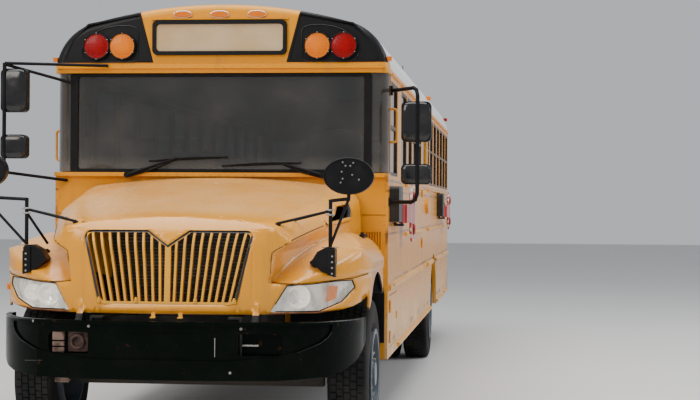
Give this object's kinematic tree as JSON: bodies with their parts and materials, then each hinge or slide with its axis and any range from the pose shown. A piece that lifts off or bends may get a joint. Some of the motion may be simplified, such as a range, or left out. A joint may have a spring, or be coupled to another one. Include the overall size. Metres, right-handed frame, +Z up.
{
  "type": "school bus",
  "caption": "Yellow school bus with a bonnet in front of a long windowed body, slatted grille, stop arms and tilting hood.",
  "frame": {"origin": "on the ground under the middle of the whole bus", "axes": "+Z up, front of the bus towards -Y, its left side at +X"},
  "size_m": [3.06, 11.55, 3.0948],
  "materials": {
    "body_yellow": "glossy, aged",
    "roof_white": "glossy",
    "black_paint": "satin",
    "chassis_black": "matt, dusty",
    "cast_iron": "rough",
    "wheel_grey": "satin",
    "tyre": "matt",
    "black_rubber": "matt",
    "glass": "clear",
    "lamp_clear": "clear",
    "lamp_red": "glossy",
    "lamp_amber": "glossy",
    "sign_face": "matt",
    "stop_red": "reflective sheet",
    "mirror_black": "matt",
    "seat_vinyl": "soft vinyl",
    "dash_grey": "matt",
    "floor_rubber": "matt",
    "bare_steel": "dull"
  },
  "bodies": {
    "body": {"frame_rails": "chassis_black", "front_axle": "cast_iron", "rear_axle": "cast_iron", "powertrain": "cast_iron", "radiator": "chassis_black", "fuel_tank": "chassis_black", "exhaust": "bare_steel", "floor": "floor_rubber", "entrance_steps": "floor_rubber", "side_left": "body_yellow", "side_right": "body_yellow", "roof": "roof_white", "front_cap": "body_yellow", "cowl": "body_yellow", "windscreen": "glass", "windscreen_seal": "black_rubber", "rear_wall": "body_yellow", "window_panes": "glass", "window_sashes": "black_paint", "rub_rails": "body_yellow", "front_bumper": "black_paint", "rear_bumper": "black_paint", "passenger_seats": "seat_vinyl", "driver_seat": "seat_vinyl", "dashboard": "dash_grey", "rearview_mirrors": "mirror_black", "red_lamps": "lamp_red", "amber_lamps": "lamp_amber", "sign_panel": "sign_face", "wipers": "black_rubber", "grab_handles": "body_yellow", "mud_flaps": "black_rubber", "battery_box": "chassis_black", "stop_arm_brackets": "black_paint"},
    "hood": {"hood": "body_yellow", "grille": "body_yellow", "headlamps": "lamp_clear", "crossview_mirrors": "mirror_black"},
    "side_exit": {"side_exit_door": "body_yellow", "side_exit_pane": "glass"},
    "rear_exit": {"rear_exit_door": "body_yellow", "rear_exit_panes": "glass"},
    "battery_lid": {"battery_door": "body_yellow"},
    "stop_arm_front": {"stop_arm_front": "stop_red"},
    "stop_arm_rear": {"stop_arm_rear": "stop_red"},
    "entrance_front": {"entrance_leaf_front": "body_yellow", "entrance_panes_front": "glass"},
    "entrance_rear": {"entrance_leaf_rear": "body_yellow", "entrance_panes_rear": "glass"},
    "knuckle_left": {"knuckle_left": "cast_iron"},
    "front_wheel_left": {"front_tyre_left": "tyre", "front_wheel_left": "wheel_grey"},
    "rear_wheels_left": {"rear_tyres_left": "tyre", "rear_wheels_left": "wheel_grey"},
    "knuckle_right": {"knuckle_right": "cast_iron"},
    "front_wheel_right": {"front_tyre_right": "tyre", "front_wheel_right": "wheel_grey"},
    "rear_wheels_right": {"rear_tyres_right": "tyre", "rear_wheels_right": "wheel_grey"}
  },
  "joints": [
    {"name": "hood_tilt", "type": "hinge", "parent": "body", "child": "hood", "pos_m": [0, -5.637, 0.915], "axis": [1, 0, 0], "range_deg": [0, 60]},
    {"name": "entrance_front_swing", "type": "hinge", "parent": "body", "child": "entrance_front", "pos_m": [-1.227, -3.654, 1.45], "axis": [0, 0, 1], "range_deg": [0, 85]},
    {"name": "entrance_rear_swing", "type": "hinge", "parent": "body", "child": "entrance_rear", "pos_m": [-1.227, -2.896, 1.45], "axis": [0, 0, -1], "range_deg": [0, 85]},
    {"name": "side_exit_swing", "type": "hinge", "parent": "body", "child": "side_exit", "pos_m": [1.227, 0.081, 1.83], "axis": [0, 0, -1], "range_deg": [0, 90]},
    {"name": "rear_exit_swing", "type": "hinge", "parent": "body", "child": "rear_exit", "pos_m": [-0.454, 5.683, 1.83], "axis": [0, 0, 1], "range_deg": [0, 90]},
    {"name": "stop_arm_front_swing", "type": "hinge", "parent": "body", "child": "stop_arm_front", "pos_m": [1.277, -3.315, 1.59], "axis": [0, 0, -1], "range_deg": [0, 90]},
    {"name": "stop_arm_rear_swing", "type": "hinge", "parent": "body", "child": "stop_arm_rear", "pos_m": [1.277, 3.375, 1.6], "axis": [0, 0, -1], "range_deg": [0, 90]},
    {"name": "battery_door_swing", "type": "hinge", "parent": "body", "child": "battery_lid", "pos_m": [1.227, -3.729, 0.81], "axis": [0, 0, -1], "range_deg": [0, 90]},
    {"name": "steering_left", "type": "hinge", "parent": "body", "child": "knuckle_left", "pos_m": [0.9, -4.475, 0.51], "axis": [0, 0, 1], "range_deg": [-40, 40]},
    {"name": "front_wheel_spin_left", "type": "hinge", "parent": "knuckle_left", "child": "front_wheel_left", "pos_m": [1.046, -4.475, 0.51], "axis": [1, 0, 0], "continuous": true},
    {"name": "rear_wheels_spin_left", "type": "hinge", "parent": "body", "child": "rear_wheels_left", "pos_m": [0.887, 2.315, 0.51], "axis": [1, 0, 0], "continuous": true},
    {"name": "steering_right", "type": "hinge", "parent": "body", "child": "knuckle_right", "pos_m": [-0.9, -4.475, 0.51], "axis": [0, 0, 1], "range_deg": [-40, 40]},
    {"name": "front_wheel_spin_right", "type": "hinge", "parent": "knuckle_right", "child": "front_wheel_right", "pos_m": [-1.046, -4.475, 0.51], "axis": [1, 0, 0], "continuous": true},
    {"name": "rear_wheels_spin_right", "type": "hinge", "parent": "body", "child": "rear_wheels_right", "pos_m": [-0.887, 2.315, 0.51], "axis": [1, 0, 0], "continuous": true}
  ],
  "couplings": [
    {"joint": "steering_right", "follows": "steering_left", "ratio": 1},
    {"joint": "entrance_rear_swing", "follows": "entrance_front_swing", "ratio": 1}
  ]
}
